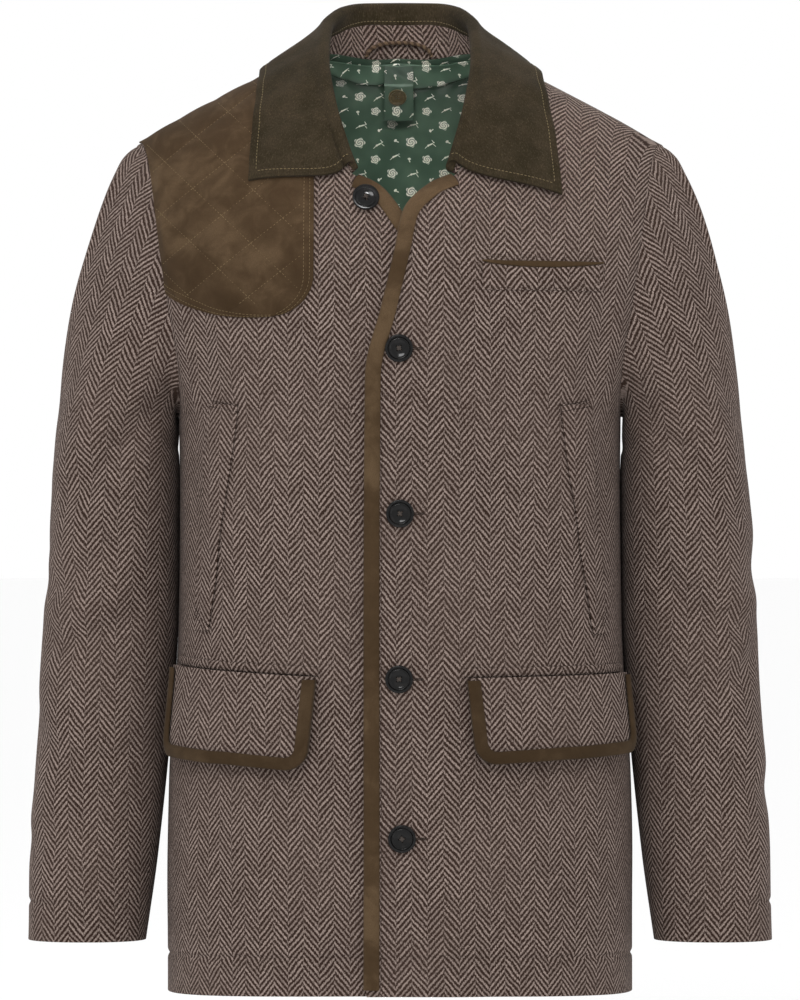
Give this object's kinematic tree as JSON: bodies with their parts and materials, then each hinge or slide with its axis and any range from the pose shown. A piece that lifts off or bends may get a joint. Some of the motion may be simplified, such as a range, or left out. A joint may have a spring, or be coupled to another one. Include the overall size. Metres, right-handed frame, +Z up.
{
  "type": "tweed jacket with a quilted shoulder patch",
  "caption": "Hollow worn-form tweed field jacket with turned-down collar, buttoned front, flap pockets, suede edge bindings and a quilted shoulder patch.",
  "frame": {"origin": "between the two shoulders, level with the place where the collar's edge crosses the shoulder seams, midway between the chest and the back", "axes": "+Z up, -Y out of the front, +X to the wearer's left"},
  "size_m": [0.631, 0.315, 0.8425],
  "materials": {
    "tweed": "brown and beige herringbone tweed, matt",
    "suede": "brown suede, napped and matt",
    "olive_cloth": "dark olive brushed cloth",
    "printed_lining": "green satin with a small cream print",
    "dark_horn": "dark polished horn",
    "olive_horn": "olive-brown horn",
    "cord": "twisted brown cord"
  },
  "bodies": {
    "root": {"front_left": "tweed", "front_right": "tweed", "back": "tweed", "sleeve_left": "tweed", "sleeve_right": "tweed", "collar_stand": "tweed", "flap_left": "tweed", "flap_right": "tweed", "flap_welt_left": "tweed", "flap_welt_right": "tweed", "breast_welt": "tweed", "hand_welt_left": "tweed", "hand_welt_right": "tweed", "shoulder_patch": "suede", "edge_binding_left": "suede", "edge_binding_right": "suede", "flap_binding_left": "suede", "flap_binding_right": "suede", "breast_piping": "suede", "collar": "olive_cloth", "lining_back": "printed_lining", "lining_tab": "printed_lining", "button_1": "dark_horn", "button_2": "dark_horn", "button_3": "dark_horn", "button_4": "dark_horn", "button_5": "dark_horn", "tab_button": "olive_horn", "hanger_loop": "cord"}
  },
  "joints": []
}
